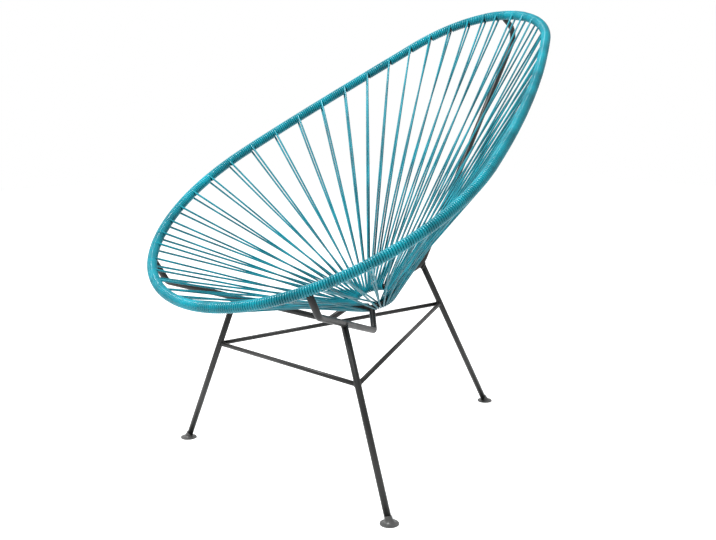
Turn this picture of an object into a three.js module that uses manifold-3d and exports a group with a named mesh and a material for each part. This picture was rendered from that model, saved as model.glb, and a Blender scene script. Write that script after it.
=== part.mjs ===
// Lounge chair: an egg shaped hoop laced with round cord down to a small ring, on three splayed legs.
// Millimetres, +Z up. The sitter looks towards -Y, so left is +X. Angles are in degrees.
// The origin is on the floor, under the middle of the chair.
import * as THREE from 'three';
import { mergeVertices } from 'three/addons/utils/BufferGeometryUtils.js';
import Module from 'manifold-3d';

const wasm = await Module();
wasm.setup();

// Fits
const fitGap = 0.3;
const overrun = 12;

// Round bar
const rimBar = 10.8;
const hubBar = 10;
const frameBar = 12.7;
const stretcherBar = 9;

// Cord wound on the rim, the same cord stretched thinner across the bowl, and the free space
// between two passes side by side on the hub
const cordDiameter = 4.8;
const strandDiameter = 3.5;
const passGap = 0.5;

// Rim: nose point, slope of its plane, and the bends of one half from the nose to the crown
const noseAhead = 459.8;
const noseZ = 375.6;
const rimSlope = 31.3;
const noseRadius = 343.1;
const noseAngle = 47.4;
const flankRadius = 400.3;
const flankAngle = 55.5;
const upperRadius = 1984.8;
const upperAngle = 13.9;
// Side view of the rim: how far its middle sags below the plane, and how far it swings in an S
const rimBow = 8.9;
const rimSway = 11.7;

// Hub ring: middle and slope of its plane
const hubBack = 1.5;
const hubZ = 319;
const hubSlope = 21.7;

// Lacing: spokes between the front brackets, and spokes on each side from there to the crown
const frontSpokes = 10;
const sideSpokes = 20;
const spokesPerCord = 2;
// Spoke spacing on the rim, beside the front bracket, at the widest part and at the crown, then how
// much of it lies between a bracket and the first spoke, and how far the whole lacing is shifted
const spacingShares = { front: 0.53, flank: 1, crown: 0.41 };
const endShares = { front: 0.93, crown: 0.87 };
const lacingShift = 12.3;
// How far a spoke's two strands stand apart along the hub, in cord widths
const hubLeadShare = 0.5;

// Front brackets: place on the half rim, then the offsets of the two bends from the rim and the hub
const frontBracketShare = 0.1824;
const frontDrop = { inward: 4.6, back: 28.6, down: 50.1 };
const frontRise = { out: 39.2, ahead: 33.2, down: 36.9 };
const frontBend = 15;

// Back bracket: the same, on the centre plane
const crownDrop = { back: 54, down: 36 };
const crownRise = { back: 112.5, up: 36 };
const crownBend = 24;

// Legs: where the front ones sit along their bracket, and where the feet stand
const legSeatShare = 0.406;
const frontFoot = { out: 303.5, ahead: 267 };
const backFootBack = 389;

// Stretcher heights on the front legs and on the back leg
const frontStretcherZ = 226.6;
const backStretcherZ = 271.3;

// Feet
const footDiameter = 34.5;
const footEdge = 2.6;
const footChamfer = 0.8;
const neckDiameter = 17.5;
const neckZ = 9;
const collarDiameter = 15.6;
const collarZ = 15;
const socketFloor = 3;

// Facets
const barSides = 10;
const rimSides = 8;
const cordSides = 5;
const stationsPerCord = 3;
const hubStations = 36;
const footSides = 20;
const wrapSteps = 4;
const bendStep = 20;
const flareSteps = 4;
const leadPasses = 5;
const probesPerSpan = 40;

// Worked out sizes
const degree = Math.PI / 180;
const strandRadius = strandDiameter / 2;
const hubLead = hubLeadShare * strandDiameter;
const rimWrap = rimBar / 2 + fitGap + cordDiameter / 2;
const hubWrap = (hubBar / 2 + fitGap + strandRadius) / Math.cos(Math.PI / wrapSteps / 2);
const windingRadius = rimBar / 2 + fitGap + cordDiameter;
const bracketCount = 3;
const spokeCount = frontSpokes + 2 * sideSpokes;

// Finishes
const steel = new THREE.MeshStandardMaterial({ color: 0x2f2f2e, roughness: 0.55, metalness: 0.4 });
const cord = new THREE.MeshStandardMaterial({ color: 0x178ca0, roughness: 0.35, metalness: 0 });
const glide = new THREE.MeshStandardMaterial({ color: 0x2b2b2b, roughness: 0.6, metalness: 0 });

// Small vector helpers
const vector = (x, y, z) => new THREE.Vector3(x, y, z);
const moved = (point, direction, distance) => point.clone().addScaledVector(direction, distance);
const heading = (from, to) => to.clone().sub(from).normalize();
const crossed = (a, b) => a.clone().cross(b).normalize();
const square = (direction, axis) => direction.clone().projectOnPlane(axis).normalize();

// A closed mesh as a solid, and a solid as a mesh again
function toSolid(geometry) {
  const bare = geometry.clone();
  bare.deleteAttribute('normal');
  bare.deleteAttribute('uv');
  const merged = mergeVertices(bare);
  const corners = merged.index.array;
  const kept = [];
  for (let i = 0; i < corners.length; i += 3) {
    const [a, b, c] = corners.slice(i, i + 3);
    if (a !== b && b !== c && c !== a) {
      kept.push(a, b, c);
    }
  }
  const vertProperties = new Float32Array(merged.attributes.position.array);
  return new wasm.Manifold(new wasm.Mesh({ numProp: 3, vertProperties, triVerts: new Uint32Array(kept) }));
}

function toGeometry(solid) {
  const { numProp, vertProperties, triVerts } = solid.getMesh();
  const geometry = new THREE.BufferGeometry();
  const positions = [];
  for (let i = 0; i < vertProperties.length; i += numProp) {
    positions.push(vertProperties[i], vertProperties[i + 1], vertProperties[i + 2]);
  }
  geometry.setAttribute('position', new THREE.Float32BufferAttribute(positions, 3));
  geometry.setIndex(Array.from(triVerts));
  geometry.computeVertexNormals();
  return geometry;
}

// One ring of points square to a path, given two directions across it
function circle(centre, across, up, radius, sides) {
  const ring = [];
  for (let i = 0; i < sides; i += 1) {
    const angle = (2 * Math.PI * i) / sides;
    ring.push(moved(moved(centre, across, radius * Math.cos(angle)), up, radius * Math.sin(angle)));
  }
  return ring;
}

// Joins rings of points into one skin, capped at both ends or closed on itself
function skin(rings, closed = false) {
  const sides = rings[0].length;
  const index = [];
  const spans = closed ? rings.length : rings.length - 1;
  for (let i = 0; i < spans; i += 1) {
    const near = i * sides;
    const far = ((i + 1) % rings.length) * sides;
    for (let j = 0; j < sides; j += 1) {
      const next = (j + 1) % sides;
      index.push(near + j, near + next, far + next);
      index.push(near + j, far + next, far + j);
    }
  }
  const last = (rings.length - 1) * sides;
  for (let j = 1; j < sides - 1 && !closed; j += 1) {
    index.push(0, j + 1, j);
    index.push(last, last + j, last + j + 1);
  }
  const positions = rings.flat().flatMap((point) => point.toArray());
  const geometry = new THREE.BufferGeometry();
  geometry.setAttribute('position', new THREE.Float32BufferAttribute(positions, 3));
  geometry.setIndex(index);
  geometry.computeVertexNormals();
  return geometry;
}

// A round tube through points, each ring on the bisector of its corner
function tube(points, radius, sides) {
  const rings = [];
  let across = null;
  points.forEach((point, i) => {
    const before = heading(points[Math.max(i - 1, 0)], points[Math.max(i, 1)]);
    const from = Math.min(i, points.length - 2);
    const after = heading(points[from], points[from + 1]);
    const along = before.add(after).normalize();
    if (!across) {
      const aside = Math.abs(along.z) < Math.SQRT1_2 ? vector(0, 0, 1) : vector(0, 1, 0);
      across = crossed(along, aside);
    }
    across = square(across, along);
    rings.push(circle(point, across, crossed(along, across), radius, sides));
  });
  return skin(rings);
}

// The path of a bent bar: straight runs with a round bend at each inner corner
function bendPath(corners, bendRadius) {
  const path = [corners[0]];
  for (let i = 1; i < corners.length - 1; i += 1) {
    const into = heading(corners[i - 1], corners[i]);
    const out = heading(corners[i], corners[i + 1]);
    const turn = into.angleTo(out);
    const room = Math.min(corners[i].distanceTo(corners[i - 1]), corners[i].distanceTo(corners[i + 1])) / 2;
    const setBack = Math.min(bendRadius * Math.tan(turn / 2), room);
    const radius = setBack / Math.tan(turn / 2);
    const start = moved(corners[i], into, -setBack);
    const inward = square(out, into);
    const centre = moved(start, inward, radius);
    const steps = Math.ceil(turn / (bendStep * degree));
    for (let step = 0; step <= steps; step += 1) {
      const angle = (turn * step) / steps;
      const onArc = moved(centre, inward, -radius * Math.cos(angle));
      path.push(moved(onArc, into, radius * Math.sin(angle)));
    }
  }
  path.push(corners.at(-1));
  return path;
}

// Rim outline: arcs in the sloping plane, where the last one closes the half on the centre line
function bendOutline() {
  const arcs = [];
  const end = { heading: 0, across: 0, along: 0, start: 0 };
  const add = (radius, sweep) => {
    arcs.push({ ...end, radius });
    const turned = end.heading + sweep;
    end.across += radius * (Math.sin(turned) - Math.sin(end.heading));
    end.along += radius * (Math.cos(end.heading) - Math.cos(turned));
    end.start += radius * sweep;
    end.heading = turned;
  };
  add(noseRadius, noseAngle * degree);
  add(flankRadius, flankAngle * degree);
  add(upperRadius, upperAngle * degree);
  add(end.across / Math.sin(end.heading), Math.PI - end.heading);
  return { arcs, length: end.along, halfRim: end.start };
}

const outline = bendOutline();
const halfRim = outline.halfRim;
const rimNormal = vector(0, -Math.sin(rimSlope * degree), Math.cos(rimSlope * degree));
const rimUphill = vector(0, Math.cos(rimSlope * degree), Math.sin(rimSlope * degree));

// A point on the rim's centre line, measured along it from the nose towards +X
function rimPoint(distance) {
  const around = ((distance % (2 * halfRim)) + 2 * halfRim) % (2 * halfRim);
  const side = around <= halfRim ? 1 : -1;
  const run = side === 1 ? around : 2 * halfRim - around;
  const arc = outline.arcs.findLast((item) => item.start <= run);
  const turned = arc.heading + (run - arc.start) / arc.radius;
  const across = arc.across + arc.radius * (Math.sin(turned) - Math.sin(arc.heading));
  const along = arc.along + arc.radius * (Math.cos(arc.heading) - Math.cos(turned));
  const place = (2 * along) / outline.length - 1;
  const lift = rimBow * (place ** 2 - 1) + rimSway * (place ** 3 - place);
  return moved(moved(vector(side * across, -noseAhead, noseZ), rimUphill, along), rimNormal, lift);
}

// The direction of the rim at a place on it
function rimAlong(distance) {
  const step = halfRim / 10000;
  return heading(rimPoint(distance - step), rimPoint(distance + step));
}

function rimRing(distance, radius) {
  const along = rimAlong(distance);
  const outward = crossed(along, rimNormal);
  return circle(rimPoint(distance), outward, crossed(along, outward), radius, rimSides);
}

// Hub ring: its size leaves room inside for every pass of cord, and for a bracket in each of three gaps
const passPitch = strandDiameter + passGap;
const straddle = frameBar + strandDiameter + 2 * passGap + hubLead;

function hubInnerRadius() {
  const passes = (spokeCount - bracketCount) * passPitch;
  const wide = passes + bracketCount * straddle - 4 * Math.PI * hubWrap;
  return (wide + Math.sqrt(wide ** 2 + 16 * Math.PI * hubWrap * passes)) / (4 * Math.PI);
}

const innerRadius = hubInnerRadius();
const hubRadius = innerRadius + hubWrap;
const passAngle = passPitch / innerRadius;
const gapAngle = (2 * Math.PI - (spokeCount - bracketCount) * passAngle) / bracketCount;
const frontSpread = ((frontSpokes - 1) * passAngle + gapAngle) / 2;
const hubUphill = vector(0, Math.cos(hubSlope * degree), Math.sin(hubSlope * degree));
const hubNormal = vector(0, -Math.sin(hubSlope * degree), Math.cos(hubSlope * degree));

// Angles on the hub start at +X and rise towards the back
function hubOutward(angle) {
  return moved(vector(Math.cos(angle), 0, 0), hubUphill, Math.sin(angle));
}

const hubPoint = (angle) => moved(vector(0, hubBack, hubZ), hubOutward(angle), hubRadius);

function hubSkin(radius) {
  const rings = [];
  for (let i = 0; i < hubStations; i += 1) {
    const angle = (2 * Math.PI * i) / hubStations;
    rings.push(circle(hubPoint(angle), hubOutward(angle), hubNormal.clone().negate(), radius, rimSides));
  }
  return skin(rings, true);
}

// Spacing along one side of the rim: it swells towards the widest part and closes up at the crown
function sidePlaces(start, end) {
  const gaps = [];
  for (let i = 0; i <= sideSpokes; i += 1) {
    const place = i / sideSpokes;
    const even = spacingShares.front * (1 - place) + spacingShares.crown * place;
    const swell = 4 * (spacingShares.flank - (spacingShares.front + spacingShares.crown) / 2);
    gaps.push(even + swell * place * (1 - place));
  }
  gaps[0] *= endShares.front;
  gaps[sideSpokes] *= endShares.crown;
  const total = gaps.reduce((sum, gap) => sum + gap, 0);
  let reached = start;
  return gaps.slice(0, -1).map((gap) => {
    reached += ((end - start) * gap) / total;
    return reached;
  });
}

// Three groups of spokes, one in each gap between brackets, with their places on rim and hub
function placeGroups() {
  const bracket = frontBracketShare * halfRim;
  const hubStart = -Math.PI / 2 - frontSpread + gapAngle / 2;
  const sideStart = -Math.PI / 2 + frontSpread + gapAngle / 2;
  const front = Array.from({ length: frontSpokes }, (_, i) => ({
    rim: bracket * ((2 * i + 1) / frontSpokes - 1),
    hub: hubStart + i * passAngle,
  }));
  const left = sidePlaces(bracket, halfRim).map((rim, i) => ({ rim, hub: sideStart + i * passAngle }));
  const right = left.map(({ rim, hub }) => ({ rim: 2 * halfRim - rim, hub: Math.PI - hub }));
  const groups = [
    { name: 'front', start: -bracket, end: bracket, spokes: front },
    { name: 'left', start: bracket, end: halfRim, spokes: left },
    { name: 'right', start: 2 * halfRim - bracket, end: halfRim, spokes: right },
  ];
  return groups.map(({ name, start, end, spokes }) => ({
    name,
    start: start - lacingShift,
    end: end - lacingShift,
    spokes: spokes.map(({ rim, hub }) => ({ rim: rim - lacingShift, hub })),
  }));
}

// Each length of cord laces a few spokes and winds the rim halfway out to the spokes beside them
function placeCords() {
  return placeGroups().flatMap(({ name, start, end, spokes }) => {
    const lengths = [];
    for (let first = 0; first < spokes.length; first += spokesPerCord) {
      const own = spokes.slice(first, first + spokesPerCord);
      const before = spokes[first - 1];
      const after = spokes[first + spokesPerCord];
      const from = before ? (before.rim + own[0].rim) / 2 : start;
      const to = after ? (after.rim + own.at(-1).rim) / 2 : end;
      const number = String(lengths.length + 1).padStart(2, '0');
      const ends = { start: Math.min(from, to), end: Math.max(from, to) };
      lengths.push({ name: `cord_${name}_${number}`, spokes: own, ...ends });
    }
    return lengths;
  });
}

const cords = placeCords().sort((a, b) => a.start - b.start);

// Rim stations of one length of cord
function stations({ start, end }) {
  return Array.from({ length: stationsPerCord + 1 }, (_, i) => start + ((end - start) * i) / stationsPerCord);
}

// Rim bar, with its stations shared by the cord
function rimSkin(radius) {
  return skin(cords.flatMap((item) => stations(item).slice(0, -1).map((at) => rimRing(at, radius))), true);
}

const rimCutter = toSolid(rimSkin(rimBar / 2 + fitGap));
const hubCutter = toSolid(hubSkin(hubBar / 2 + fitGap));

// The path of one spoke: over the rim, under the hub bar, round it and back under the rim.
// The two strands cross on the way, as they leave the rim a lead apart.
function spokePath({ rim, hub }, rimLead) {
  const rimCentre = rimPoint(rim);
  const hubCentre = hubPoint(hub);
  const rimDirection = rimAlong(rim);
  const hubDirection = crossed(hubNormal, hubOutward(hub));
  const down = heading(rimCentre, hubCentre);
  const rimUp = crossed(rimDirection, down);
  const hubUp = crossed(hubDirection, down);
  const hubInward = square(down, hubDirection);
  const onRim = (side) => {
    const centre = moved(rimCentre, rimDirection, (-side * rimLead) / 2);
    return moved(centre, rimUp, side * rimWrap);
  };
  const onHub = (turn) => {
    const centre = moved(hubCentre, hubDirection, hubLead * (turn / wrapSteps - 0.5));
    const angle = (Math.PI * turn) / wrapSteps;
    return moved(moved(centre, hubUp, -hubWrap * Math.cos(angle)), hubInward, hubWrap * Math.sin(angle));
  };
  const turns = Array.from({ length: wrapSteps + 1 }, (_, turn) => onHub(turn));
  return [onRim(1), ...turns, onRim(-1)];
}

// Free space between the two strands of a spoke where they cross
function crossingGap(path) {
  const normal = crossed(heading(path[0], path[1]), heading(path.at(-2), path.at(-1)));
  return Math.abs(path[0].clone().sub(path.at(-1)).dot(normal)) - strandDiameter;
}

// The strands leave the rim just far enough apart to pass each other
function spokeRoute(spoke) {
  let rimLead = strandDiameter;
  for (let i = 0; i < leadPasses; i += 1) {
    rimLead += 2 * (passGap - crossingGap(spokePath(spoke, rimLead)));
  }
  return spokePath(spoke, rimLead);
}

// One length of cord: its winding on the rim and the spokes that it laces
function lacing(item, brackets) {
  const places = stations(item);
  places[0] += fitGap / 2;
  places[places.length - 1] -= fitGap / 2;
  const outside = places.map((at) => rimRing(at, windingRadius));
  const inside = places.toReversed().map((at) => rimRing(at, rimBar / 2 + fitGap));
  let body = toSolid(skin([...outside, ...inside], true));
  item.spokes.forEach((spoke) => {
    body = body.add(toSolid(tube(spokeRoute(spoke), strandRadius, cordSides)));
  });
  brackets.forEach((bracket) => {
    body = body.subtract(bracket.cutter);
  });
  return toGeometry(body);
}

// Brackets run outside the bowl from the rim to the hub, with two bends each
function bracketCorners(rim, hub, drop, rise) {
  return [rim, rim.clone().add(drop), hub.clone().add(rise), hub];
}

function frontCorners(side) {
  const drop = vector(-side * frontDrop.inward, frontDrop.back, -frontDrop.down);
  const rise = vector(side * frontRise.out, -frontRise.ahead, -frontRise.down);
  const hub = hubPoint(-Math.PI / 2 + side * frontSpread);
  return bracketCorners(rimPoint(side * frontBracketShare * halfRim), hub, drop, rise);
}

function crownCorners() {
  const drop = vector(0, crownDrop.back, -crownDrop.down);
  const rise = vector(0, crownRise.back, crownRise.up);
  return bracketCorners(rimPoint(halfRim), hubPoint(Math.PI / 2), drop, rise);
}

// A bracket's ends stop short of the middle of the bars they meet, and are cut to fit round them
function bracketBar(corners, bendRadius) {
  const start = moved(corners[0], heading(corners[0], corners[1]), rimBar / 3);
  const end = moved(corners[3], heading(corners[3], corners[2]), hubBar / 3);
  const path = bendPath([start, corners[1], corners[2], end], bendRadius);
  const cutter = toSolid(tube(path, frameBar / 2 + fitGap, barSides));
  const bar = toSolid(tube(path, frameBar / 2, barSides));
  return { solid: bar.subtract(rimCutter).subtract(hubCutter), cutter, corners };
}

const brackets = {
  left: bracketBar(frontCorners(1), frontBend),
  right: bracketBar(frontCorners(-1), frontBend),
  back: bracketBar(crownCorners(), crownBend),
};

// Legs stand in the feet, and their tops are cut to fit under the brackets
function legAxis(foot, top, bracket) {
  const direction = heading(foot, top);
  const tilt = direction.angleTo(vector(0, 0, 1));
  const lift = socketFloor + fitGap + (frameBar / 2) * Math.sin(tilt);
  return { foot, top, direction, bracket, start: foot.clone().lerp(top, lift / top.z) };
}

function frontLeg(side, bracket) {
  const top = bracket.corners[1].clone().lerp(bracket.corners[2], legSeatShare);
  return legAxis(vector(side * frontFoot.out, -frontFoot.ahead, 0), top, bracket);
}

const legs = {
  left: frontLeg(1, brackets.left),
  right: frontLeg(-1, brackets.right),
  back: legAxis(vector(0, backFootBack, 0), brackets.back.corners[2], brackets.back),
};

function straightBar(start, end, radius) {
  return toSolid(tube([start, end], radius, barSides));
}

function legGeometry(leg) {
  return toGeometry(straightBar(leg.start, leg.top, frameBar / 2).subtract(leg.bracket.cutter));
}

// Stretchers: thin bars between the legs, each cut round the legs and round the bars already there
function legAt(leg, height) {
  return leg.foot.clone().lerp(leg.top, height / leg.top.z);
}

function stretcherBars() {
  const left = legAt(legs.left, frontStretcherZ);
  const right = legAt(legs.right, frontStretcherZ);
  const back = legAt(legs.back, backStretcherZ);
  const runs = { front: [right, left], left: [left, back], right: [right, back] };
  const cutters = Object.values(legs).map((leg) => straightBar(leg.start, leg.top, frameBar / 2 + fitGap));
  return Object.entries(runs).map(([name, [start, end]]) => {
    let bar = straightBar(start, end, stretcherBar / 2);
    cutters.forEach((cutter) => {
      bar = bar.subtract(cutter);
    });
    cutters.push(straightBar(start, end, stretcherBar / 2 + fitGap));
    return named(`stretcher_${name}`, toGeometry(bar), steel);
  });
}

// Feet: a flared disc with a leaning collar, level at its bottom and bored along the leg
function footProfile() {
  const edge = footDiameter / 2;
  const neck = neckDiameter / 2;
  const points = [[0, 0], [edge - footChamfer, 0], [edge, footChamfer], [edge, footEdge]];
  for (let i = 1; i <= flareSteps; i += 1) {
    const angle = (Math.PI / 2) * (i / flareSteps);
    points.push([edge - (edge - neck) * Math.sin(angle), neckZ - (neckZ - footEdge) * Math.cos(angle)]);
  }
  points.push([0, neckZ]);
  return points.map(([radius, height]) => new THREE.Vector2(radius, height));
}

function collarGeometry(direction) {
  const levels = [[socketFloor, neckDiameter], [neckZ, neckDiameter], [collarZ, collarDiameter]];
  return skin(levels.map(([height, diameter]) => {
    const axis = height === socketFloor ? vector(0, 0, 1) : direction;
    const across = crossed(axis, vector(0, 1, 0));
    const centre = direction.clone().multiplyScalar(height / direction.z);
    return circle(centre, across, crossed(axis, across), diameter / 2, footSides);
  }));
}

function footGeometry({ direction, start, foot }) {
  const disc = toSolid(new THREE.LatheGeometry(footProfile(), footSides).rotateX(Math.PI / 2));
  const collar = toSolid(collarGeometry(direction));
  const floor = moved(start.clone().sub(foot), direction, -fitGap);
  const bore = straightBar(floor, moved(floor, direction, collarZ + overrun), frameBar / 2 + fitGap);
  return toGeometry(disc.add(collar).subtract(bore));
}

// Least free space between passes of cord, from points along each spoke to its own other strand
// and to the next spoke
function clearance(path, other) {
  const found = vector(0, 0, 0);
  const spans = other.slice(1).map((end, i) => new THREE.Line3(other[i], end));
  const points = path.slice(1).flatMap((end, i) => (
    Array.from({ length: probesPerSpan + 1 }, (_, j) => path[i].clone().lerp(end, j / probesPerSpan))
  ));
  const away = (point) => spans.map((span) => span.closestPointToPoint(point, true, found).distanceTo(point));
  return Math.min(...points.flatMap(away)) - strandDiameter;
}

function leastGap() {
  const inOrder = cords.flatMap((item) => item.spokes).sort((a, b) => a.rim - b.rim);
  const routes = inOrder.map(spokeRoute);
  const gaps = routes.flatMap((path, i) => [
    clearance(path.slice(0, 2), path.slice(-2)),
    clearance(path, routes[(i + 1) % routes.length]),
  ]);
  return Math.min(...gaps);
}

// Assembly
function named(name, geometry, material) {
  const mesh = new THREE.Mesh(geometry, material);
  mesh.name = name;
  return mesh;
}

function buildFrame() {
  const frame = new THREE.Group();
  frame.add(named('rim_hoop', rimSkin(rimBar / 2), steel));
  frame.add(named('hub_ring', hubSkin(hubBar / 2), steel));
  Object.entries(brackets).forEach(([name, { solid }]) => {
    frame.add(named(`bracket_${name}`, toGeometry(solid), steel));
  });
  Object.entries(legs).forEach(([name, leg]) => {
    const foot = named(`foot_${name}`, footGeometry(leg), glide);
    foot.position.copy(leg.foot);
    frame.add(named(`leg_${name}`, legGeometry(leg), steel), foot);
  });
  frame.add(...stretcherBars());
  return frame;
}

function buildLacing() {
  const lengths = new THREE.Group();
  cords.forEach((item) => {
    lengths.add(named(item.name, lacing(item, Object.values(brackets)), cord));
  });
  return lengths;
}

console.log(`least gap between passes of cord: ${leastGap().toFixed(2)} mm`);

const chair = new THREE.Group();
chair.add(buildFrame(), buildLacing());
chair.position.y = -new THREE.Box3().setFromObject(chair, true).getCenter(vector(0, 0, 0)).y;

export default chair;
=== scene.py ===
import math

import bmesh
import bpy
import numpy as np
from mathutils import Matrix, Vector


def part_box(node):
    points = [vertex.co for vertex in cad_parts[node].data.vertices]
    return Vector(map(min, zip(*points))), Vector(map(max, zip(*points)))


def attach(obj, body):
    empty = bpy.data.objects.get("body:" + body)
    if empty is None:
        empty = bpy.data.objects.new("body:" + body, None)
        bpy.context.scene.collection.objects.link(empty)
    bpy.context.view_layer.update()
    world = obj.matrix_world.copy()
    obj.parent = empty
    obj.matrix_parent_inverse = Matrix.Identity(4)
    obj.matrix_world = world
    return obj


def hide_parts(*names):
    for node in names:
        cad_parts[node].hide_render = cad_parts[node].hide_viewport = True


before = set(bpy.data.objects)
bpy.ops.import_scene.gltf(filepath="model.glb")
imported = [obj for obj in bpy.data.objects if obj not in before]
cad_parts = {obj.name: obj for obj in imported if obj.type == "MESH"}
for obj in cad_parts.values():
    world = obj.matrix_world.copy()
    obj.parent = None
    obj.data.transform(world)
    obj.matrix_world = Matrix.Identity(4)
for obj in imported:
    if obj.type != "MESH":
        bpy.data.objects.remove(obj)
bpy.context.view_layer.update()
mm = 0.001
print("frame loaded:", len(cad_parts), "nodes")

# camera, fitted to the photograph
camera = {
    "place": (1.37057, -1.39178, 0.73509),
    "forward": (-0.7015, 0.68927, -0.18113),
    "up": (-0.12581, 0.13039, 0.98345),
    "lens": 47.705,
    "sensor": 36,
    "shift": (-0.0005, 0.00042),
    "clip": (0.05, 60),
}


def makeCamera(look):
    data = bpy.data.cameras.new("photoCamera")
    data.sensor_width = look["sensor"]
    data.lens = look["lens"]
    data.shift_x, data.shift_y = look["shift"]
    data.clip_start, data.clip_end = look["clip"]
    eye = bpy.data.objects.new("photoCamera", data)
    eye.location = look["place"]
    eye.rotation_mode = "QUATERNION"
    forward, up = Vector(look["forward"]).normalized(), Vector(look["up"])
    right = forward.cross(up).normalized()
    axes = Matrix((right, right.cross(forward), -forward)).transposed()
    eye.rotation_quaternion = axes.to_quaternion()
    bpy.context.scene.collection.objects.link(eye)
    bpy.context.scene.camera = eye


makeCamera(camera)
print("camera set")


# small vector helpers
def unit(v):
    return v / np.linalg.norm(v)


def crossed(a, b):
    return unit(np.cross(a, b))


def square(v, axis):  # the part of v that is square to axis
    return unit(v - axis * np.dot(v, axis))


def turned(slope, x, uphill, normal):  # across, up the slope and square to it
    angle = math.radians(slope)
    up = np.array([0, math.cos(angle), math.sin(angle)])
    out = np.array([0, -math.sin(angle), math.cos(angle)])
    return np.array([x, 0, 0]) + up * uphill + out * normal


# rim and hub, which everything else hangs on; angles are in degrees
rim = {
    "bar": 10.8 * mm,
    "nose": (0, -459.8 * mm, 375.6 * mm),
    "slope": 31.3,
    "bends": ((343.1 * mm, 47.4), (400.3 * mm, 55.5), (1984.8 * mm, 13.9)),  # radius and sweep
    "bow": 8.9 * mm,  # the middle dips below the slope
    "sway": 11.7 * mm,  # and the front half stands higher on it than the back half
    "steps": 360,
    "sides": 16,
}
hub = {
    "bar": 10 * mm,
    "middle": (0, 1.5 * mm, 319 * mm),
    "slope": 21.7,
    "radius": 43.921 * mm,
    "steps": 96,
    "sides": 24,
}
backFoot = 389 * mm


def bendRim(shape):  # half of the rim as arcs, from the nose to the crown
    arcs = []
    end = {"heading": 0.0, "across": 0.0, "along": 0.0, "start": 0.0}

    def add(radius, sweep):
        arcs.append({**end, "radius": radius})
        after = end["heading"] + sweep
        end["across"] += radius * (math.sin(after) - math.sin(end["heading"]))
        end["along"] += radius * (math.cos(end["heading"]) - math.cos(after))
        end["start"] += radius * sweep
        end["heading"] = after

    for radius, sweep in shape["bends"]:
        add(radius, math.radians(sweep))
    add(end["across"] / math.sin(end["heading"]), math.pi - end["heading"])
    return arcs, end["along"], end["start"]


rimArcs, rimLength, halfRim = bendRim(rim)
rimNormal = turned(rim["slope"], 0, 0, 1)


def rimPoint(distance):  # measured from the nose towards +X
    around = distance % (2 * halfRim)
    side = 1 if around <= halfRim else -1
    run = around if side == 1 else 2 * halfRim - around
    arc = [item for item in rimArcs if item["start"] <= run][-1]
    after = arc["heading"] + (run - arc["start"]) / arc["radius"]
    across = arc["across"] + arc["radius"] * (math.sin(after) - math.sin(arc["heading"]))
    along = arc["along"] + arc["radius"] * (math.cos(arc["heading"]) - math.cos(after))
    place = 2 * along / rimLength - 1
    lift = rim["bow"] * (place ** 2 - 1) + rim["sway"] * (place ** 3 - place)
    return np.array(rim["nose"]) + turned(rim["slope"], side * across, along, lift)


def rimAlong(distance):
    step = halfRim / 10000  # far finer than any bend
    return unit(rimPoint(distance + step) - rimPoint(distance - step))


def hubOutward(angle):  # starts at +X and rises towards the back
    return turned(hub["slope"], math.cos(angle), math.sin(angle), 0)


def hubPoint(angle):
    return np.array(hub["middle"]) + hubOutward(angle) * hub["radius"]


# the CAD part is centred on its own box, so the same move is read back from its back foot
centring = (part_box("foot_back")[0][1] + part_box("foot_back")[1][1]) / 2 - backFoot
rim["nose"] = tuple(np.array(rim["nose"]) + (0, centring, 0))
hub["middle"] = tuple(np.array(hub["middle"]) + (0, centring, 0))
hubNormal = turned(hub["slope"], 0, 0, 1)
print("centring", round(centring / mm, 3), "mm")


# skins: rings of points joined into one closed mesh
def addPiece(name, mesh):
    piece = bpy.data.objects.new(name, mesh)
    bpy.context.scene.collection.objects.link(piece)
    return piece


def circle(centre, across, up, radius, sides):
    angles = np.arange(sides) * 2 * math.pi / sides
    return [centre + radius * (across * math.cos(a) + up * math.sin(a)) for a in angles]


def skin(name, rings, material, closed=False):
    sides = len(rings[0])
    points = [tuple(point) for ring in rings for point in ring]
    faces = []
    for i in range(len(rings) if closed else len(rings) - 1):
        near, far = i * sides, (i + 1) % len(rings) * sides
        for j in range(sides):
            after = (j + 1) % sides
            faces.append((near + j, near + after, far + after, far + j))
    if not closed:
        last = (len(rings) - 1) * sides
        faces.append(tuple(range(sides - 1, -1, -1)))
        faces.append(tuple(range(last, last + sides)))
    mesh = bpy.data.meshes.new(name)
    mesh.from_pydata(points, [], faces)
    mesh.validate()
    mesh.polygons.foreach_set("use_smooth", [len(face) == 4 for face in faces])
    turnOutwards(mesh)
    mesh.materials.append(material)
    return addPiece(name, mesh)


def turnOutwards(mesh):
    work = bmesh.new()
    work.from_mesh(mesh)
    bmesh.ops.recalc_face_normals(work, faces=work.faces)
    work.to_mesh(mesh)
    work.free()


def barRings(path, radius, sides):  # rings square to the path, turned no more than its bends ask
    rings = []
    across = None
    for i, point in enumerate(path):
        near, far = max(i, 1), min(i, len(path) - 2)
        along = unit(unit(path[near] - path[near - 1]) + unit(path[far + 1] - path[far]))
        if across is None:  # the first ring is turned by a direction well off the bar's own
            steep = abs(along[2]) >= 0.7
            across = crossed(along, np.array((0.0, 1.0, 0.0) if steep else (0.0, 0.3, 1.0)))
        across = square(across, along)
        rings.append(circle(point, across, np.cross(along, across), radius, sides))
    return rings


bendStep = math.radians(4)  # from ring to ring round a bend


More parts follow.
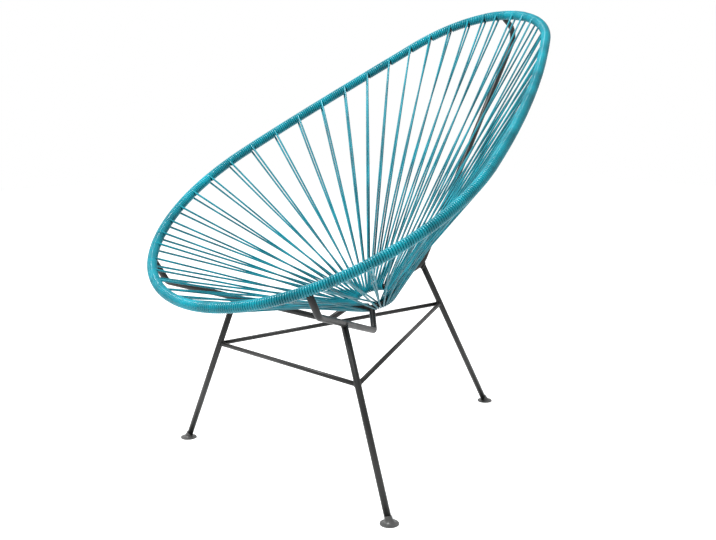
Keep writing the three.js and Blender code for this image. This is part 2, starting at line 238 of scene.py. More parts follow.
def bendPath(corners, bendRadius):  # straight runs with a round bend at each inner corner
    path = [corners[0]]
    for before, corner, after in zip(corners, corners[1:], corners[2:]):
        into, out = unit(corner - before), unit(after - corner)
        turn = math.acos(float(np.clip(np.dot(into, out), -1, 1)))
        room = min(np.linalg.norm(corner - before), np.linalg.norm(after - corner)) / 2
        setBack = min(bendRadius * math.tan(turn / 2), room)
        radius = setBack / math.tan(turn / 2)
        inward = square(out, into)
        centre = corner - into * setBack + inward * radius
        steps = math.ceil(turn / bendStep)
        for j in range(steps + 1):
            angle = turn * j / steps
            onBend = into * radius * math.sin(angle)
            path.append(centre - inward * radius * math.cos(angle) + onBend)
    path.append(corners[-1])
    return path


# nodes that the materials, the lacing and the studio share
def mathNode(tree, operation, *values):
    node = tree.nodes.new("ShaderNodeMath")
    node.operation = operation
    for socket, value in zip(node.inputs, values):
        if isinstance(value, (int, float)):
            socket.default_value = value
        else:
            tree.links.new(value, socket)
    return node.outputs[0]


def newMaterial(name):
    material = bpy.data.materials.new(name)
    material.use_nodes = True
    tree = material.node_tree
    tree.nodes.clear()
    output = tree.nodes.new("ShaderNodeOutputMaterial")
    shader = tree.nodes.new("ShaderNodeBsdfPrincipled")
    tree.links.new(shader.outputs["BSDF"], output.inputs["Surface"])
    return material, tree, shader


# finishes; streaks, patches and grain are noises, each with its scale and detail
finishes = {
    "cord": {
        "deep": (0.001, 0.135, 0.177),
        "bright": (0.003, 0.39, 0.492),
        "stops": (0.3, 0.72),
        "roughness": (0.16, 0.26),
        "gloss": 0.31,
        # painted shade: the free strands are drawn darker than the winding by this much
        "strandShade": 0.1,
        "tautMatt": 0.26,
        "streaks": (90, 4),
        "patches": (14, 3),
        "bump": 0.06,
        "bumpDepth": 0.4 * mm,
    },
    "steel": {
        "deep": (0.006, 0.006, 0.0056),
        "bright": (0.014, 0.014, 0.0133),
        "stops": (0.3, 0.7),
        "roughness": (0.36, 0.48),
        "gloss": 0.4,
        "patches": (22, 5),
        "grain": (1400, 2),
        "bump": 0.1,
        "bumpDepth": 0.3 * mm,
    },
    "glide": {
        "deep": (0.055, 0.055, 0.054),
        "bright": (0.095, 0.095, 0.093),
        "stops": (0.3, 0.7),
        "roughness": (0.34, 0.46),
        "gloss": 0.45,
        "patches": (22, 5),
        "grain": (900, 2),
        "bump": 0.12,
        "bumpDepth": 0.3 * mm,
    },
}
noiseSpan = (0.3, 0.7)  # most of a noise lies in here


def addNoise(tree, vector, look):
    noise = tree.nodes.new("ShaderNodeTexNoise")
    noise.inputs["Scale"].default_value, noise.inputs["Detail"].default_value = look
    tree.links.new(vector, noise.inputs["Vector"])
    return noise.outputs["Fac"]


def addRange(tree, value, low, high):
    span = tree.nodes.new("ShaderNodeMapRange")
    span.inputs["From Min"].default_value, span.inputs["From Max"].default_value = noiseSpan
    span.inputs["To Min"].default_value = low
    span.inputs["To Max"].default_value = high
    tree.links.new(value, span.inputs["Value"])
    return span.outputs["Result"]


def colourIt(tree, shader, value, look):
    ramp = tree.nodes.new("ShaderNodeValToRGB")
    colours = (look["deep"], look["bright"])
    for element, colour, stop in zip(ramp.color_ramp.elements, colours, look["stops"]):
        element.color = (*colour, 1)
        element.position = stop
    tree.links.new(value, ramp.inputs["Fac"])
    tree.links.new(ramp.outputs["Color"], shader.inputs["Base Color"])


def bumpIt(tree, shader, height, look):
    bump = tree.nodes.new("ShaderNodeBump")
    bump.inputs["Strength"].default_value = look["bump"]
    bump.inputs["Distance"].default_value = look["bumpDepth"]
    tree.links.new(height, bump.inputs["Height"])
    tree.links.new(bump.outputs["Normal"], shader.inputs["Normal"])


def ownAttribute(tree, name, output):
    node = tree.nodes.new("ShaderNodeAttribute")
    node.attribute_name = name
    return node.outputs[output]


def cordMaterial(look):  # extruded plastic, faintly streaked; taut strands are more matt, and carry painted shade as a deeper tone
    material, tree, shader = newMaterial("tealCord")
    streak = addNoise(tree, ownAttribute(tree, "cordRun", "Vector"), look["streaks"])
    coords = tree.nodes.new("ShaderNodeTexCoord").outputs["Object"]
    patch = addNoise(tree, coords, look["patches"])
    taut = ownAttribute(tree, "taut", "Fac")
    halfPatch = mathNode(tree, "MULTIPLY", patch, 0.5)
    tone = mathNode(tree, "MULTIPLY_ADD", streak, 0.5, halfPatch)  # streaks and patches in equal parts
    # painted shade: the free strands are darkened against the winding
    tone = mathNode(tree, "MULTIPLY_ADD", taut, -look["strandShade"], tone)
    colourIt(tree, shader, tone, look)
    matt = addRange(tree, streak, *look["roughness"])
    matt = mathNode(tree, "MULTIPLY_ADD", taut, look["tautMatt"], matt)
    tree.links.new(matt, shader.inputs["Roughness"])
    shader.inputs["Specular IOR Level"].default_value = look["gloss"]
    bumpIt(tree, shader, streak, look)
    return material


def coatMaterial(name, look):  # powder coat or moulded plastic: fine grain, slightly uneven sheen
    material, tree, shader = newMaterial(name)
    coords = tree.nodes.new("ShaderNodeTexCoord").outputs["Object"]
    patch = addNoise(tree, coords, look["patches"])
    colourIt(tree, shader, patch, look)
    tree.links.new(addRange(tree, patch, *look["roughness"]), shader.inputs["Roughness"])
    shader.inputs["Specular IOR Level"].default_value = look["gloss"]
    bumpIt(tree, shader, addNoise(tree, coords, look["grain"]), look)
    return material


materials = {
    "cord": cordMaterial(finishes["cord"]),
    "steel": coatMaterial("charcoalPowderCoat", finishes["steel"]),
    "glide": coatMaterial("footPlastic", finishes["glide"]),
}
print("materials made")

# lacing: one cord winds the rim and runs in hairpins round the hub
lacing = {
    "diameter": 4.45 * mm,
    "strand": 4 * mm,  # the same cord, pulled tight
    "barGap": 0.3 * mm,
    "pitchGap": 0.2 * mm,
    "rimLead": 2.4 * mm,  # along the rim from a spoke's upper strand to its lower one
    "hubLead": 1.75 * mm,  # and along the hub
    "front": 10,  # spokes between the front brackets
    "side": 20,  # spokes on each side
    "perLength": 2,
    "spacing": {"front": 0.53, "flank": 1, "crown": 0.41},  # gaps on a side, against its middle one
    "ends": {"front": 0.93, "crown": 0.87},  # its first and last gap are narrower still
    "shift": 12.3 * mm,  # of the whole lacing round the rim, towards -X at the nose
    "bracketShare": 0.1824,  # of half the rim
    "passPitch": 4 * mm,  # from one cord to the next inside the hub's hole
    "passDepth": 7.05 * mm,  # from the hub bar's middle in to those cords
    "bowReach": (0.2, 0.8),  # a crossing nearer a strand's ends makes its bow no larger
    "turnSteps": 20,
    "hubSteps": 10,
    "strandSteps": 6,
    "sides": 10,
    "unevenness": 0.02,
    "streakStretch": 0.25,  # under 1 draws the streaks out along the cord
    "streakSpread": 9,  # each length starts somewhere else among the streaks
    "seed": 7,
}


def hubSpacing(lace):  # the CAD's cord is eight-sided, and its corners reach in a little further
    inner = hub["radius"] - lace["passDepth"] / math.cos(math.pi / 8)
    step = lace["passPitch"] / inner
    gap = (2 * math.pi - (lace["front"] + 2 * lace["side"] - 3) * step) / 3
    return step, gap


passAngle, gapAngle = hubSpacing(lacing)
frontSpread = ((lacing["front"] - 1) * passAngle + gapAngle) / 2


def sidePlaces(lace, start, end):  # spacing swells towards the widest part and closes up at the crown
    spacing = lace["spacing"]
    swell = 4 * (spacing["flank"] - (spacing["front"] + spacing["crown"]) / 2)
    gaps = []
    for i in range(lace["side"] + 1):
        place = i / lace["side"]
        even = spacing["front"] * (1 - place) + spacing["crown"] * place
        gaps.append(even + swell * place * (1 - place))
    gaps[0] *= lace["ends"]["front"]
    gaps[-1] *= lace["ends"]["crown"]
    return start + (end - start) * np.cumsum(gaps)[:-1] / sum(gaps)


def placeSpokes(lace):  # every spoke in order round the rim, from the nose towards +X
    bracket = lace["bracketShare"] * halfRim
    hubStart = -math.pi / 2 - frontSpread + gapAngle / 2
    sideStart = -math.pi / 2 + frontSpread + gapAngle / 2
    placed = []
    for i in range(lace["front"]):
        place = bracket * ((2 * i + 1) / lace["front"] - 1)
        placed.append({"group": "front", "number": i, "rim": place, "hub": hubStart + i * passAngle})
    for i, place in enumerate(sidePlaces(lace, bracket, halfRim)):
        angle = sideStart + i * passAngle
        placed.append({"group": "left", "number": i, "rim": place, "hub": angle})
        placed.append({"group": "right", "number": i, "rim": -place, "hub": math.pi - angle})
    for spoke in placed:
        spoke["hub"] = (spoke["hub"] + math.pi / 2) % (2 * math.pi) - math.pi / 2
        spoke["rim"] = (spoke["rim"] - lace["shift"]) % (2 * halfRim)
    return sorted(placed, key=lambda spoke: spoke["rim"])


spokes = placeSpokes(lacing)
bracketShares = (lacing["bracketShare"], 1, 2 - lacing["bracketShare"])  # left, back and right
groupEnds = [share * halfRim - lacing["shift"] for share in bracketShares]


def placeLengths(lace):  # each length of cord has the same number of spokes, one beside the other
    lengths = []
    for i, spoke in enumerate(spokes):
        name = f"cord_{spoke['group']}_{spoke['number'] // lace['perLength'] + 1:02d}"
        if not lengths or lengths[-1]["name"] != name:
            lengths.append({"name": name, "spokes": []})
        lengths[-1]["spokes"].append(i)
    if lengths[0]["name"] == lengths[-1]["name"]:
        lengths[0]["spokes"] = lengths.pop()["spokes"] + lengths[0]["spokes"]
    return lengths


def rimPair(i):  # where spoke i and the next one are on the rim, counted on past the nose
    near, far = spokes[i]["rim"], spokes[(i + 1) % len(spokes)]["rim"]
    return near, far + (2 * halfRim if far < near else 0)


def stretchEnds(i, lace):  # where the winding between spoke i and the next one starts and ends
    near, far = rimPair(i)
    return near + lace["rimLead"] / 2, far - lace["rimLead"] / 2


def lengthEnd(i):  # halfway to the next spoke, or at a bracket
    near, far = rimPair(i)
    if spokes[i]["group"] == spokes[(i + 1) % len(spokes)]["group"]:
        return (near + far) / 2
    return next(end + lap for end in groupEnds for lap in (0, 2 * halfRim) if near < end + lap < far)


def lengthShare(i, lace):  # the share of that winding which belongs to spoke i's length of cord
    start, end = stretchEnds(i, lace)
    return (lengthEnd(i) - start) / (end - start)


def lapFrame(distance, hubAngle):  # over the rim, and in towards the hub
    centre = rimPoint(distance)
    along = rimAlong(distance)
    down = unit(hubPoint(hubAngle) - centre)
    return centre, crossed(along, down), square(down, along)


# what the tree reads at each point of a guide, after the point itself in a row
pointValues = (
    ("lapUp", "FLOAT_VECTOR"),
    ("lapIn", "FLOAT_VECTOR"),
    ("lapAngle", "FLOAT"),
    ("lapBar", "FLOAT"),
    ("thickness", "FLOAT"),
    ("taut", "FLOAT"),
)


def windingRows(i, fromShare, toShare, lace):  # the helix from spoke i to the next, or a share of it
    start, end = stretchEnds(i, lace)
    hubNear, hubFar = spokes[i]["hub"], spokes[(i + 1) % len(spokes)]["hub"]
    hubFar += 2 * math.pi if hubFar < hubNear else 0
    pitch = lace["diameter"] + lace["pitchGap"]
    turns = math.floor((end - start) / pitch) + 0.5
    snug = ((end - start) / turns - lace["pitchGap"]) / lace["diameter"]  # fills the pitch but for its gap
    first = math.floor(fromShare * turns * lace["turnSteps"] + 0.5)
    last = math.floor(toShare * turns * lace["turnSteps"] + 0.5)
    rows = []
    for step in range(first, last + 1):
        share = step / (turns * lace["turnSteps"])
        hubAngle = hubNear + (hubFar - hubNear) * share
        centre, up, inward = lapFrame(start + (end - start) * share, hubAngle)
        angle = math.pi + 2 * math.pi * turns * share
        rows.append((centre, up, inward, angle, rim["bar"] / 2, snug, 0.0))
    return rows


def spokeRows(i, lace):  # off the top of the rim, under the hub, round it and back under the rim
    rimCentre, rimDirection = rimPoint(spokes[i]["rim"]), rimAlong(spokes[i]["rim"])
    hubCentre = hubPoint(spokes[i]["hub"])
    hubDirection = crossed(hubNormal, hubOutward(spokes[i]["hub"]))
    down = unit(hubCentre - rimCentre)
    up, hubUp = crossed(rimDirection, down), crossed(hubDirection, down)
    hubInward = square(down, hubDirection)
    thin = lace["strand"] / lace["diameter"]
    hubRows = []
    for step in range(lace["hubSteps"] + 1):
        share = step / lace["hubSteps"]
        centre = hubCentre + hubDirection * lace["hubLead"] * (share - 0.5)
        hubRows.append((centre, hubUp, hubInward, math.pi * (1 - share), hub["bar"] / 2, thin, 1.0))
    lead = rimDirection * lace["rimLead"] / 2
    wrap = rim["bar"] / 2 + lace["barGap"] + lace["diameter"] / 2
    hubWrap = hub["bar"] / 2 + lace["barGap"] + lace["strand"] / 2
    upper = (rimCentre - lead + up * wrap, hubRows[0][0] - hubUp * hubWrap)
    lower = (rimCentre + lead - up * wrap, hubRows[-1][0] + hubUp * hubWrap)
    upperBow, lowerBow = bowAside(upper, lower, rimDirection, lace)
    out = strandRows(*upper, upperBow, lace)
    back = strandRows(lower[1], lower[0], lowerBow, lace)
    return out + hubRows + back


def bowAside(upper, lower, rimDirection, lace):  # both strands give way until they just touch in passing
    first, second = upper[1] - upper[0], lower[1] - lower[0]
    normal = crossed(first, second)
    normal = normal * math.copysign(1, np.dot(normal, rimDirection))
    axes = np.stack([first, -second, normal], 1)
    *shares, apart = np.linalg.solve(axes, lower[0] - upper[0])
    need = normal * max((lace["strand"] - apart) / 2, 0)
    low, high = lace["bowReach"]
    peaks = [1 / math.sin(math.pi * min(max(share, low), high)) for share in shares]
    return -need * peaks[0], need * peaks[1]


def strandRows(start, end, aside, lace):  # a free strand has no bar to go round, so its points stay
    thin = lace["strand"] / lace["diameter"]
    none = np.zeros(3)
    rows = []
    for step in range(1, lace["strandSteps"]):
        share = step / lace["strandSteps"]
        bow = aside * math.sin(math.pi * share)
        rows.append((start + (end - start) * share + bow, none, none, 0.0, -1.0, thin, 1.0))
    return rows


def cordRows(length, lace):
    own = length["spokes"]
    before = (own[0] - 1) % len(spokes)
    rows = windingRows(before, lengthShare(before, lace), 1, lace)
    for i in own:
        share = lengthShare(i, lace) if i == own[-1] else 1
        rows += spokeRows(i, lace) + windingRows(i, 0, share, lace)
    return rows


def storeValues(mesh, name, kind, values):
    attribute = mesh.attributes.new(name, kind, "POINT")
    field = "vector" if kind == "FLOAT_VECTOR" else "value"
    attribute.data.foreach_set(field, np.array(values, dtype=np.float32).ravel())


def cordGuide(length, lace, random):  # the cord's middle line as bare edges, with what the tree reads
    rows = cordRows(length, lace)
    points = np.array([row[0] for row in rows])
    mesh = bpy.data.meshes.new(length["name"] + "Guide")
    mesh.from_pydata(points.tolist(), [(i, i + 1) for i in range(len(rows) - 1)], [])
    for column, (name, kind) in enumerate(pointValues, 1):
        storeValues(mesh, name, kind, [row[column] for row in rows])
    steps = np.linalg.norm(np.diff(points, axis=0), axis=1)
    run = np.append(0, np.cumsum(steps)) * lace["streakStretch"]
    aside = random.uniform(0, lace["streakSpread"])
    storeValues(mesh, "cordRun", "FLOAT_VECTOR", [(along, aside, 0) for along in run])
    return addPiece(length["name"] + "Guide", mesh)


def vectorNode(tree, operation, a, b=None, scale=None):
    node = tree.nodes.new("ShaderNodeVectorMath")
    node.operation = operation
    for socket, value in ((0, a), (1, b), ("Scale", scale)):
        if value is not None:
            tree.links.new(value, node.inputs[socket])
    return node.outputs[0]


def guideValue(tree, name):
    node = tree.nodes.new("GeometryNodeInputNamedAttribute")
    node.data_type = dict(pointValues)[name]
    node.inputs["Name"].default_value = name
    return next(output for output in node.outputs if output.enabled and output.name == "Attribute")


def laidLine(tree, source, radius):  # moves each point of the guide out to where it lies on its bar
    line = tree.nodes.new("GeometryNodeMeshToCurve")
    tree.links.new(source["Guide"], line.inputs["Mesh"])
    angle, bar = guideValue(tree, "lapAngle"), guideValue(tree, "lapBar")
    over = vectorNode(tree, "SCALE", guideValue(tree, "lapUp"), scale=mathNode(tree, "COSINE", angle))
    inward = vectorNode(tree, "SCALE", guideValue(tree, "lapIn"), scale=mathNode(tree, "SINE", angle))
    reach = mathNode(tree, "ADD", mathNode(tree, "ADD", bar, radius), source["Bar Gap"])
    held = mathNode(tree, "MULTIPLY", reach, mathNode(tree, "GREATER_THAN", bar, 0.0))
    lay = tree.nodes.new("GeometryNodeSetPosition")
    tree.links.new(line.outputs["Curve"], lay.inputs["Geometry"])
    offset = vectorNode(tree, "SCALE", vectorNode(tree, "ADD", over, inward), scale=held)
    tree.links.new(offset, lay.inputs["Offset"])
    return lay.outputs["Geometry"]


def unevenRadius(tree, source, radius):  # never thicker than the cord, and here and there a little thinner
    uneven = tree.nodes.new("FunctionNodeRandomValue")
    uneven.data_type = "FLOAT"
    inputs = {socket.name: socket for socket in uneven.inputs if socket.enabled}
    tree.links.new(mathNode(tree, "SUBTRACT", 1.0, source["Unevenness"]), inputs["Min"])
    inputs["Max"].default_value = 1.0
    tree.links.new(source["Seed"], inputs["Seed"])
    spread = next(output for output in uneven.outputs if output.enabled)
    return mathNode(tree, "MULTIPLY", radius, spread)


def roundCord(tree, source, line, radius):
    profile = tree.nodes.new("GeometryNodeCurvePrimitiveCircle")
    profile.mode = "RADIUS"
    profile.inputs["Radius"].default_value = 1
    tree.links.new(source["Sides"], profile.inputs["Resolution"])
    tube = tree.nodes.new("GeometryNodeCurveToMesh")
    tube.inputs["Fill Caps"].default_value = True
    tree.links.new(line, tube.inputs["Curve"])
    tree.links.new(radius, tube.inputs["Scale"])
    tree.links.new(profile.outputs["Curve"], tube.inputs["Profile Curve"])
    smooth = tree.nodes.new("GeometryNodeSetShadeSmooth")
    tree.links.new(tube.outputs["Mesh"], smooth.inputs["Geometry"])
    return smooth.outputs["Geometry"]


def cordTree(lace):  # lays each point of a guide round its bar, then skins the line as round cord
    tree = bpy.data.node_groups.new("laceCord", "GeometryNodeTree")
    for name, kind, value in (
        ("Guide", "NodeSocketGeometry", None),
        ("Cord Diameter", "NodeSocketFloat", lace["diameter"]),
        ("Bar Gap", "NodeSocketFloat", lace["barGap"]),
        ("Sides", "NodeSocketInt", lace["sides"]),
        ("Unevenness", "NodeSocketFloat", lace["unevenness"]),
        ("Seed", "NodeSocketInt", lace["seed"]),
        ("Finish", "NodeSocketMaterial", None),
    ):
        socket = tree.interface.new_socket(name, in_out="INPUT", socket_type=kind)
        if value is not None:
            socket.default_value = value
    tree.interface.new_socket("Cord", in_out="OUTPUT", socket_type="NodeSocketGeometry")
    source = tree.nodes.new("NodeGroupInput").outputs
    radius = mathNode(tree, "MULTIPLY", source["Cord Diameter"], 0.5)
    radius = mathNode(tree, "MULTIPLY", radius, guideValue(tree, "thickness"))
    line = laidLine(tree, source, radius)
    cord = roundCord(tree, source, line, unevenRadius(tree, source, radius))
    whole = tree.nodes.new("GeometryNodeRealizeInstances")
    tree.links.new(cord, whole.inputs["Geometry"])
    finish = tree.nodes.new("GeometryNodeSetMaterial")
    tree.links.new(whole.outputs["Geometry"], finish.inputs["Geometry"])
    tree.links.new(source["Finish"], finish.inputs["Material"])
    target = tree.nodes.new("NodeGroupOutput")
    tree.links.new(finish.outputs["Geometry"], target.inputs["Cord"])
    return tree


def bakeTree(guide, tree, name, values):  # runs the tree on a guide and keeps the result as a plain mesh
    modifier = guide.modifiers.new("lacing", "NODES")
    modifier.node_group = tree
    for item in tree.interface.items_tree:
        if item.name in values:
            modifier[item.identifier] = values[item.name]
    bpy.context.view_layer.update()
    laid = guide.evaluated_get(bpy.context.evaluated_depsgraph_get())
    shape = bpy.data.meshes.new_from_object(laid)
    shape.name = name
    guide.modifiers.remove(modifier)
    bpy.data.objects.remove(guide)
    return addPiece(name, shape)


laceTree = cordTree(lacing)
random = np.random.default_rng(lacing["seed"])
laced = []
for length in placeLengths(lacing):
    guide = cordGuide(length, lacing, random)
    piece = bakeTree(guide, laceTree, "laced_" + length["name"], {"Finish": materials["cord"]})
    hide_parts(length["name"])
    laced.append(piece)
print("cord laced:", len(laced), "lengths,", sum(len(piece.data.polygons) for piece in laced), "faces")

# bars of the frame
frameBar = 12.7 * mm


def rimBarPiece():
    rings = []
    for i in range(rim["steps"]):
        distance = 2 * halfRim * i / rim["steps"]
        centre, along = rimPoint(distance), rimAlong(distance)
        outward = crossed(along, rimNormal)
        rings.append(circle(centre, outward, crossed(along, outward), rim["bar"] / 2, rim["sides"]))
    return skin("rimBar", rings, materials["steel"], closed=True)


def hubBarPiece():
    rings = []
    for i in range(hub["steps"]):
        angle = 2 * math.pi * i / hub["steps"]
        rings.append(circle(hubPoint(angle), hubOutward(angle), -hubNormal, hub["bar"] / 2, hub["sides"]))
    return skin("hubRing", rings, materials["steel"], closed=True)


# brackets: down from the rim, along under the seat and up to the hub
brackets = {
    "bar": frameBar,
    "sides": 32,
    "front": {
        "drop": (-4.6 * mm, 28.6 * mm, -50.1 * mm),  # from the rim to the first bend
        "rise": (39.2 * mm, -33.2 * mm, -36.9 * mm),  # from the hub to the second
        "bend": 15 * mm,
    },
    "back": {
        "drop": (0, 54 * mm, -36 * mm),
        "rise": (0, 112.5 * mm, 36 * mm),
        "bend": 42 * mm,
    },
}


def bracketCorners():
    corners = {}
    for name, side in (("left", 1), ("right", -1)):
        look = brackets["front"]
        top = rimPoint(side * lacing["bracketShare"] * halfRim)
        end = hubPoint(-math.pi / 2 + side * frontSpread)
        mirror = np.array([side, 1, 1])
        corners[name] = [top, top + mirror * look["drop"], end + mirror * look["rise"], end]
    look = brackets["back"]
    top, end = rimPoint(halfRim), hubPoint(math.pi / 2)
    corners["back"] = [top, top + look["drop"], end + look["rise"], end]
    return corners


bent = bracketCorners()

# legs: straight bars from the feet up to the brackets
legs = {
    "bar": frameBar,
    "sides": 32,
    "seatShare": 0.406,  # of the way along a front bracket's run
    "frontFoot": (303.5 * mm, -267 * mm),
    "backFoot": backFoot,
    "lift": 4.5 * mm,  # of a leg's end above the floor, inside its foot
}


def legLines(corners):
    x, y = legs["frontFoot"]
    lines = {}
    for name, side in (("left", 1), ("right", -1)):
        top = corners[name][1] + (corners[name][2] - corners[name][1]) * legs["seatShare"]
        lines[name] = (np.array([side * x, y + centring, 0.0]), top)
    lines["back"] = (np.array([0.0, legs["backFoot"] + centring, 0.0]), corners["back"][2])
    return lines


def legAt(line, height):
    foot, top = line
    return foot + (top - foot) * height / top[2]


legLine = legLines(bent)

# stretchers: thinner bars that tie the legs, each from one leg to another
stretchers = {
    "bar": 9 * mm,
    "sides": 24,
    "front": 226.6 * mm,  # height on the front legs
    "back": 271.3 * mm,  # and on the back one
    "legs": {"front": ("right", "left"), "left": ("left", "back"), "right": ("right", "back")},
}


def tieEnd(leg):
    return legAt(legLine[leg], stretchers["back" if leg == "back" else "front"])


def withMiddle(start, end):
    return [start, (start + end) / 2, end]


ties = {name: [tieEnd(leg) for leg in tied] for name, tied in stretchers["legs"].items()}

# the steel pieces, each under the name of its node
steelPieces = {"rim_hoop": rimBarPiece(), "hub_ring": hubBarPiece()}


def addBar(node, path, look):
    rings = barRings(path, look["bar"] / 2, look["sides"])
    steelPieces[node] = skin(node + "_bar", rings, materials["steel"])


for name, corners in bent.items():
    bend = brackets["back" if name == "back" else "front"]["bend"]
    addBar("bracket_" + name, bendPath(corners, bend), brackets)
for name, line in legLine.items():
    addBar("leg_" + name, withMiddle(legAt(line, legs["lift"]), line[1]), legs)
for name, ends in ties.items():
    addBar("stretcher_" + name, withMiddle(*ends), stretchers)
for node, piece in steelPieces.items():
    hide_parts(node)
print("bars made:", len(steelPieces))

# welds: a bead where one bar meets the side of another
welds = {
    "size": 1.5 * mm,
    "ripple": 0.16,
    "ripplePitch": 2.4 * mm,
    "steps": 96,
    "sides": 8,
    "startSide": (0.13, 0.31, 0.94),  # not along any of the bars
}


def weldLine(start, end, diameter, onStart, onEnd, onDiameter):  # where a bar's skin runs into the other's
    direction, onDirection = unit(end - start), unit(onEnd - onStart)
    across = square(np.array(welds["startSide"]), direction)
    up = np.cross(direction, across)
    run = direction - onDirection * np.dot(direction, onDirection)
    points = []
    for i in range(welds["steps"]):
        angle = 2 * math.pi * i / welds["steps"]
        base = start + diameter / 2 * (across * math.cos(angle) + up * math.sin(angle))
        away = base - onEnd
        away = away - onDirection * np.dot(away, onDirection)
        a, b, c = np.dot(run, run), 2 * np.dot(run, away), np.dot(away, away) - (onDiameter / 2) ** 2
        root = math.sqrt(max(b * b - 4 * a * c, 0.0))
        points.append(base + direction * (-b - root) / (2 * a))
    return points


def weldBead(name, points):
    length = sum(np.linalg.norm(points[i] - points[i - 1]) for i in range(len(points)))
    waves = round(length / welds["ripplePitch"])
    centre = sum(points) / len(points)
    rings = []
    for i, point in enumerate(points):
        along = unit(points[(i + 1) % len(points)] - points[i - 1])
        outward = square(point - centre, along)
        size = welds["size"] * (1 + welds["ripple"] * math.sin(2 * math.pi * waves * i / len(points)))
        rings.append(circle(point, outward, np.cross(along, outward), size, welds["sides"]))
    return skin(name, rings, materials["steel"], closed=True)


beads = []
for name, (foot, top) in legLine.items():
    run = bent[name][1:3]
    beads.append(weldBead("weld_leg_" + name, weldLine(foot, top, legs["bar"], *run, frameBar)))
for name, ends in ties.items():
    for leg, near, far in zip(stretchers["legs"][name], ends, reversed(ends)):
        line = weldLine(far, near, stretchers["bar"], *legLine[leg], legs["bar"])
        beads.append(weldBead(f"weld_stretcher_{name}_{leg}", line))
print("welds made:", len(beads))

# feet
feet = {
    "diameter": 34.5 * mm,
    "edge": 2.6 * mm,
    "chamfer": 0.8 * mm,
    "soft": 0.7 * mm,
    "neck": 15.2 * mm,
    "neckHeight": 8.5 * mm,
    "collar": 13.6 * mm,
    "collarHeight": 13 * mm,
    "collarShares": (0.25, 0.5, 0.75, 0.9, 0.97, 1.0),  # of the way up the collar
    "lipShare": 0.9,  # where its lip starts to turn in
    "lip": 0.4 * mm,
    "cornerSteps": 4,
    "flareSteps": 12,
    "sides": 64,
}


def quarterTurn(steps, first):
    return [math.pi / 2 * i / steps for i in range(first, steps + 1)]


def footProfile(look):  # radius and height, from the sole up to the collar's lip
    radius, neck, collar = look["diameter"] / 2, look["neck"] / 2, look["collar"] / 2
    chamfer, soft, edge = look["chamfer"], look["soft"], look["edge"]
    neckHeight, lipShare = look["neckHeight"], look["lipShare"]
    profile = [(radius / 2, 0), (radius - chamfer, 0)]
    for a in quarterTurn(look["cornerSteps"], 1):
        profile.append((radius - chamfer * (1 - math.sin(a)), chamfer * (1 - math.cos(a))))
    for a in quarterTurn(look["cornerSteps"], 0):
        profile.append((radius - soft * (1 - math.cos(a)), edge - soft + soft * math.sin(a)))
    for a in quarterTurn(look["flareSteps"], 1):
        flare = (radius - soft - neck) * math.sin(a)
        profile.append((radius - soft - flare, neckHeight - (neckHeight - edge) * math.cos(a)))
    rise = look["collarHeight"] - neckHeight
    for share in look["collarShares"]:
        turnedIn = look["lip"] * max(share - lipShare, 0) / (1 - lipShare)
        profile.append((neck + (collar - neck) * share - turnedIn, neckHeight + rise * share))
    return profile


def footPiece(name, foot, direction, look):  # flat on the floor, and turned to follow the leg above
    upright = np.array([0, 0, 1.0])
    rings = []
    for radius, height in footProfile(look):
        above = max(height - look["edge"], 0)
        tilt = min(above / (look["neckHeight"] - look["edge"]), 1)
        centre = foot + direction * above / direction[2] + upright * (height - above)
        axis = unit(upright * (1 - tilt) + direction * tilt)
        across = square(np.array([1.0, 0, 0]), axis)
        rings.append(circle(centre, across, np.cross(axis, across), radius, look["sides"]))
    piece = skin("foot_" + name + "_glide", rings, materials["glide"])
    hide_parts("foot_" + name)
    return piece


glides = [footPiece(name, foot, unit(top - foot), feet) for name, (foot, top) in legLine.items()]
print("feet made:", len(glides))

# every piece belongs to the one rigid body
for pieces, slot in ((laced, "cord"), ([*steelPieces.values(), *beads], "frame"), (glides, "glide")):
    for piece in pieces:
        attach(piece, "root")

# floor and light
studio = {
    "floor": 12,
    "floorColour": 0.93,
    "floorRoughness": 0.9,
    "floorGloss": 0.1,
    "floorGlow": 0.65,
    "world": 0.36,
    "aim": (0, 0, 0.45),
    "lamps": {
        "keyLight": {"place": (-0.2, -1.3, 3.2), "size": 0.8, "power": 120},
        "fillLight": {"place": (-2.4, -1.4, 2.0), "size": 1.3, "power": 24},
    },
}


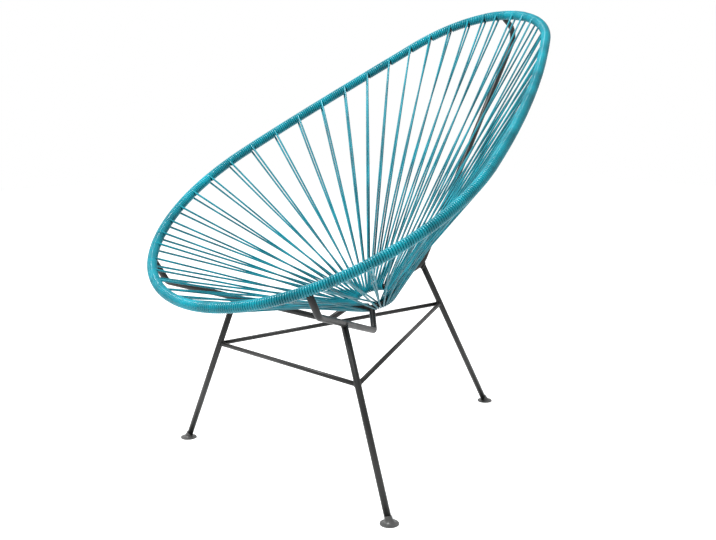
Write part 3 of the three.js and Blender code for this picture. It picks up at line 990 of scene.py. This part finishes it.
def backgroundSeen(tree):  # 1 for what the camera sees directly, in a reflection or through glass
    path = tree.nodes.new("ShaderNodeLightPath").outputs
    seen = mathNode(tree, "MAXIMUM", path["Is Camera Ray"], path["Is Glossy Ray"])
    return mathNode(tree, "MAXIMUM", seen, path["Is Transmission Ray"])


def makeFloor(look):
    half = look["floor"] / 2
    corners = [(-half, -half, 0), (half, -half, 0), (half, half, 0), (-half, half, 0)]
    mesh = bpy.data.meshes.new("floor")
    mesh.from_pydata(corners, [], [(0, 1, 2, 3)])
    material, tree, shader = newMaterial("paleFloor")
    pale = look["floorColour"]
    shader.inputs["Base Color"].default_value = (pale, pale, pale, 1)
    shader.inputs["Roughness"].default_value = look["floorRoughness"]
    shader.inputs["Specular IOR Level"].default_value = look["floorGloss"]
    shader.inputs["Emission Color"].default_value = (1, 1, 1, 1)
    glow = mathNode(tree, "MULTIPLY", backgroundSeen(tree), look["floorGlow"])
    tree.links.new(glow, shader.inputs["Emission Strength"])
    mesh.materials.append(material)
    addPiece("floor", mesh)


def makeWorld(look):
    world = bpy.data.worlds.new("studio")
    bpy.context.scene.world = world
    world.use_nodes = True
    tree = world.node_tree
    tree.nodes.clear()
    output = tree.nodes.new("ShaderNodeOutputWorld")
    background = tree.nodes.new("ShaderNodeBackground")
    background.inputs["Color"].default_value = (1, 1, 1, 1)
    level = tree.nodes.new("ShaderNodeMapRange")
    level.inputs["To Min"].default_value = look["world"]
    level.inputs["To Max"].default_value = 1
    tree.links.new(backgroundSeen(tree), level.inputs["Value"])
    tree.links.new(level.outputs["Result"], background.inputs["Strength"])
    tree.links.new(background.outputs["Background"], output.inputs["Surface"])


def makeLamp(name, look, aim):
    data = bpy.data.lights.new(name, "AREA")
    data.shape = "SQUARE"
    data.size = look["size"]
    data.energy = look["power"]
    lamp = bpy.data.objects.new(name, data)
    lamp.location = look["place"]
    lamp.rotation_mode = "QUATERNION"
    lamp.rotation_quaternion = (Vector(aim) - Vector(look["place"])).to_track_quat("-Z", "Y")
    bpy.context.scene.collection.objects.link(lamp)


makeFloor(studio)
makeWorld(studio)
for name, look in studio["lamps"].items():
    makeLamp(name, look, studio["aim"])
bpy.context.scene.view_settings.view_transform = "Standard"
print("stage and light set")

print("done")
